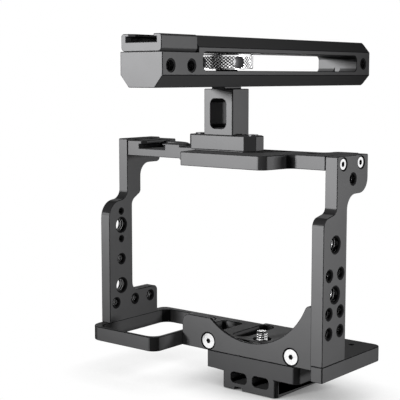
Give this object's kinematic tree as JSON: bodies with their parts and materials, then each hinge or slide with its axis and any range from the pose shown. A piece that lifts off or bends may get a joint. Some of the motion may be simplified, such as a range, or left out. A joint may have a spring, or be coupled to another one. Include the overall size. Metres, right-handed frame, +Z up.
{
  "type": "camera cage",
  "caption": "Metal frame that bolts around a camera, with threaded side arms, accessory shoes, a rail foot and a sliding clamped top handle.",
  "frame": {"origin": "on the ground plane under the rail, under the middle of the whole box", "axes": "+X towards the arm on the viewer's right seen from the lens side, -Y towards the lens side, +Z up"},
  "size_m": [0.162, 0.1996, 0.1993],
  "materials": {
    "anodised_cage": "fine sand-blasted black anodising, satin",
    "anodised_support": "fine sand-blasted black anodising, satin",
    "anodised_handle": "fine sand-blasted black anodising, satin",
    "bright_steel": "polished stainless",
    "dark_steel": "oxide-blackened steel",
    "black_plastic": "nylon"
  },
  "bodies": {
    "cage": {"base_plate": "anodised_cage", "left_arm": "anodised_cage", "right_arm": "anodised_cage", "top_plate": "anodised_cage", "lens_support_plate": "anodised_support", "lens_support_screws": "bright_steel", "arm_top_screws": "bright_steel", "arm_base_screws": "dark_steel", "quick_release_plate": "anodised_support", "quick_release_screws": "dark_steel", "riser_block": "anodised_support", "riser_screws": "bright_steel", "handle_post": "anodised_support", "post_screws": "dark_steel", "clamp_stud": "bright_steel", "wheel_washer": "black_plastic"},
    "wheel": {"thumbwheel": "bright_steel"},
    "handle": {"handle_body": "anodised_handle", "handle_shoe": "anodised_handle", "handle_shoe_screws": "bright_steel"},
    "camera_screw": {"camera_screw": "bright_steel", "camera_screw_clip": "black_plastic"}
  },
  "joints": [
    {"name": "handle_slide", "type": "slide", "parent": "cage", "child": "handle", "axis": [0, 1, 0], "range_m": [-0.095, 0.02]},
    {"name": "wheel_turn", "type": "hinge", "parent": "cage", "child": "wheel", "pos_m": [0.0093, -0.0301, 0.1851], "axis": [0, 0, 1], "range_deg": [0, 180]},
    {"name": "camera_screw_turn", "type": "hinge", "parent": "cage", "child": "camera_screw", "pos_m": [0.0205, -0.01055, 0.0201], "axis": [0, 0, 1], "continuous": true}
  ]
}
